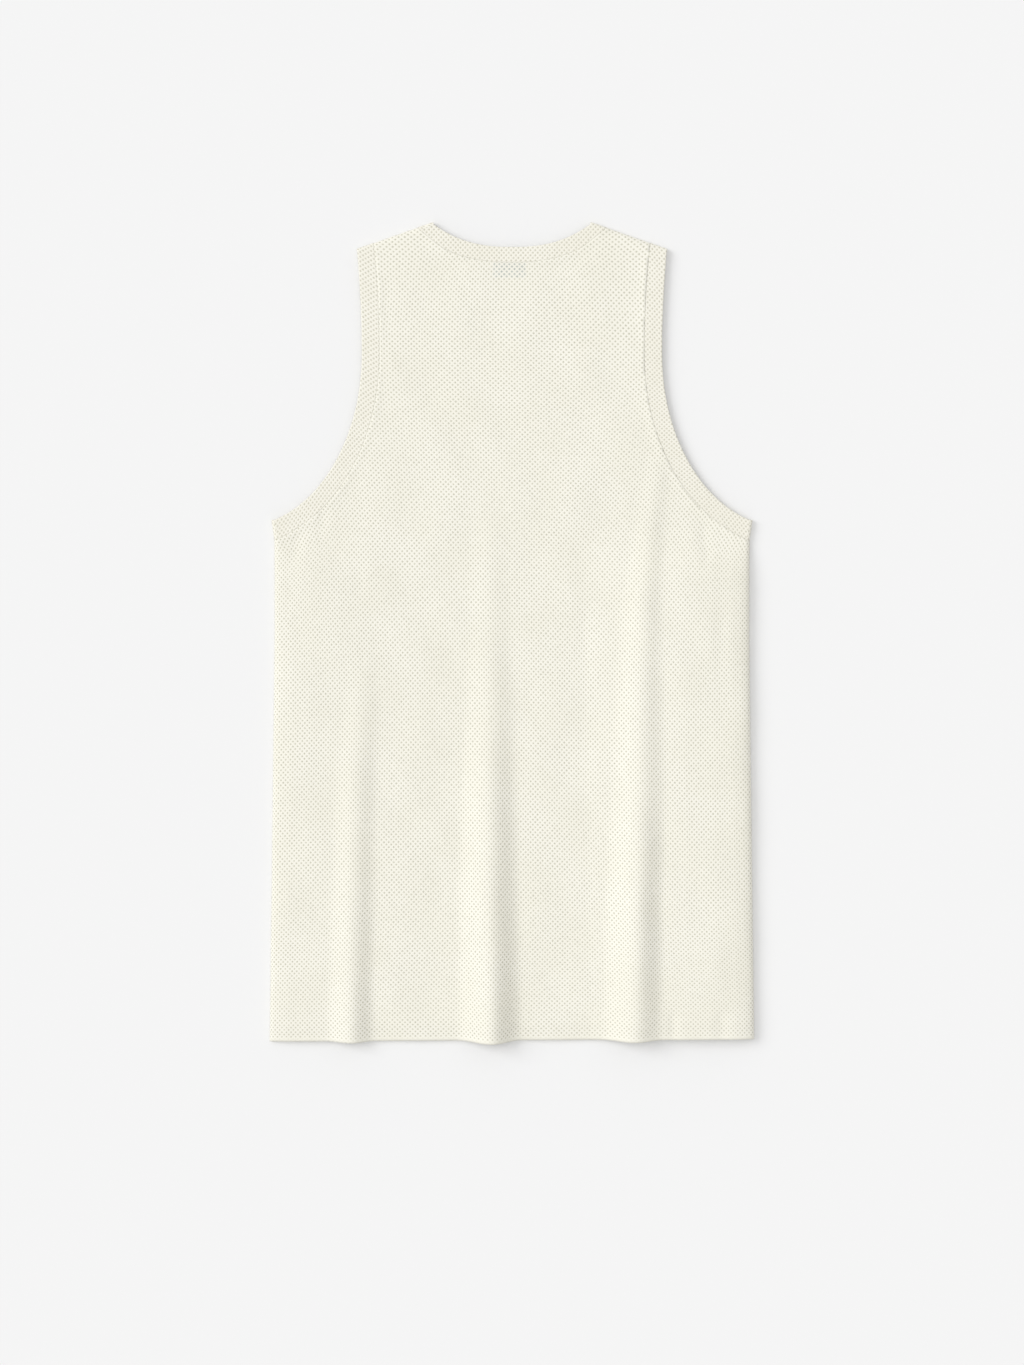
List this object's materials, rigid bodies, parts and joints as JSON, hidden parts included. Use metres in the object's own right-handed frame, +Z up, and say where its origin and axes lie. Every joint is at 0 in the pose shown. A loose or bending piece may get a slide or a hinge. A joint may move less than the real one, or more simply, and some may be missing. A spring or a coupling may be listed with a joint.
{
  "type": "knitted tank top",
  "caption": "Sleeveless openwork knit tank top with bound neck and armholes, laid flat with its back upwards and soft lengthwise folds.",
  "frame": {"origin": "middle of the garment's outline, on the surface that it lies on", "axes": "+X across the garment to the viewer's right when its back is seen, +Y from the hem to the neck, +Z up off the surface"},
  "size_m": [0.4427, 0.7492, 0.0214],
  "materials": {
    "cream_openwork_knit": "matt cream cotton, knitted with small staggered eyelets",
    "cream_band_knit": "matt cream cotton strip of the same knit, doubled",
    "pale_label_weave": "smooth pale grey woven tape, bare"
  },
  "bodies": {
    "root": {"back_panel": "cream_openwork_knit", "front_panel": "cream_openwork_knit", "neck_band": "cream_band_knit", "armhole_band_left": "cream_band_knit", "armhole_band_right": "cream_band_knit", "neck_label": "pale_label_weave"}
  },
  "joints": []
}
